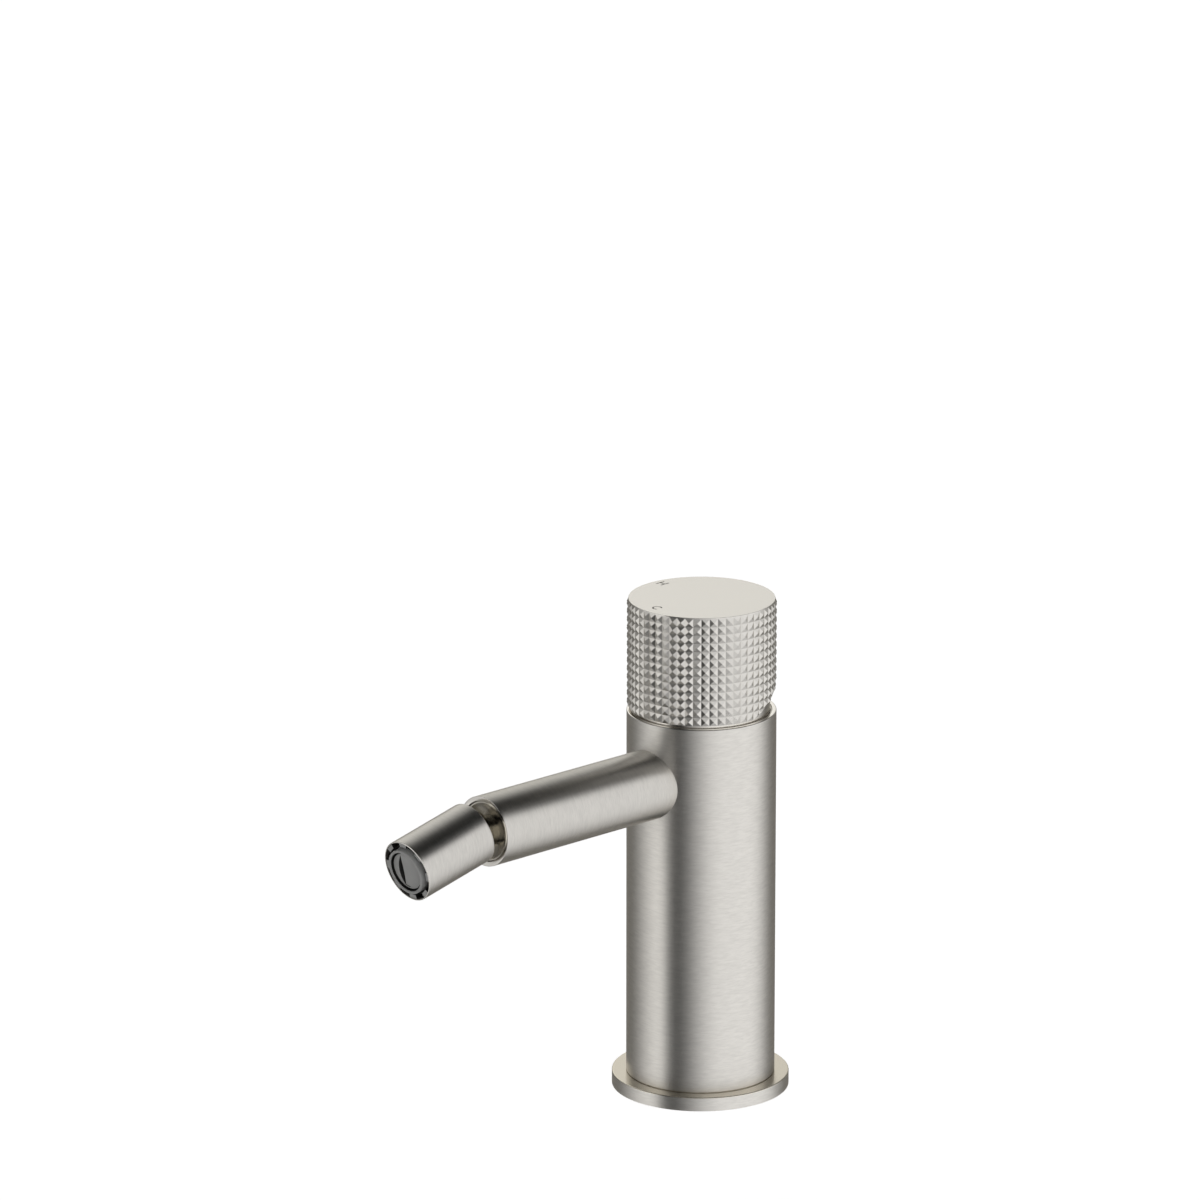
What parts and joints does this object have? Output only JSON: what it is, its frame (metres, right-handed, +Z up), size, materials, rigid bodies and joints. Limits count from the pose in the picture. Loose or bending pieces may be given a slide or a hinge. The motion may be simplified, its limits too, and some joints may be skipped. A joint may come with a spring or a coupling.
{
  "type": "bidet mixer",
  "caption": "Deck-mounted bidet mixer with a tube body, a knurled knob on top that turns and tilts back, a straight spout and a ball-jointed nozzle.",
  "frame": {"origin": "centre of the flange's underside, where the body's axis meets the deck", "axes": "+Z up along the body's axis, -Y along the spout, +X to the right seen from the spout's side"},
  "size_m": [0.0524, 0.1444, 0.15],
  "materials": {
    "brushed_nickel": "fine brushed, lines round each tube",
    "brass": "machined",
    "black_rubber": "matt",
    "grey_plastic": "moulded, satin",
    "white_plastic": "moulded, satin",
    "ceramic": "lapped",
    "steel": "bright"
  },
  "bodies": {
    "body": {"base_flange": "brushed_nickel", "base_gasket": "black_rubber", "body_shell": "brushed_nickel", "valve_core": "brass", "cartridge_base": "grey_plastic", "port_seals": "black_rubber", "fixed_disc": "ceramic", "cartridge_housing": "grey_plastic", "cartridge_nut": "brass", "glide_ring": "white_plastic", "spout_tube": "brushed_nickel", "spout_spigot": "brass", "nipple_seals": "black_rubber", "spout_insert": "brushed_nickel", "stud_retainer": "brass"},
    "stem": {"spindle": "brass", "spindle_seal": "black_rubber", "disc_carrier": "white_plastic", "turning_disc": "ceramic", "knob_neck": "brushed_nickel", "tilt_pin": "steel"},
    "knob": {"knob_lever": "brass", "knob_hub": "brushed_nickel", "knurled_sleeve": "brushed_nickel", "knob_cap": "brushed_nickel", "knob_screw": "steel"},
    "ball": {"ball_stud": "brushed_nickel", "stud_seal": "black_rubber"},
    "nozzle": {"nozzle_sleeve": "brushed_nickel", "ball_seat": "white_plastic", "ball_seal": "black_rubber", "seat_nut": "brass", "aerator_washer": "black_rubber", "flow_regulator": "white_plastic", "aerator_screen": "steel", "aerator_ring": "grey_plastic", "aerator_face": "grey_plastic"}
  },
  "joints": [
    {"name": "knob_turn", "type": "hinge", "parent": "body", "child": "stem", "pos_m": [0, 0, 0.1172], "axis": [0, 0, 1], "range_deg": [0, 90]},
    {"name": "knob_tilt", "type": "hinge", "parent": "stem", "child": "knob", "pos_m": [0, 0, 0.1172], "axis": [-1, 0, 0], "range_deg": [0, 20]},
    {"name": "nozzle_swivel", "type": "hinge", "parent": "body", "child": "ball", "pos_m": [0, -0.093, 0.0973], "axis": [0, 1, 0], "continuous": true},
    {"name": "nozzle_tilt", "type": "hinge", "parent": "ball", "child": "nozzle", "pos_m": [0, -0.093, 0.0973], "axis": [1, 0, 0], "range_deg": [-33.4, 6.6]}
  ]
}
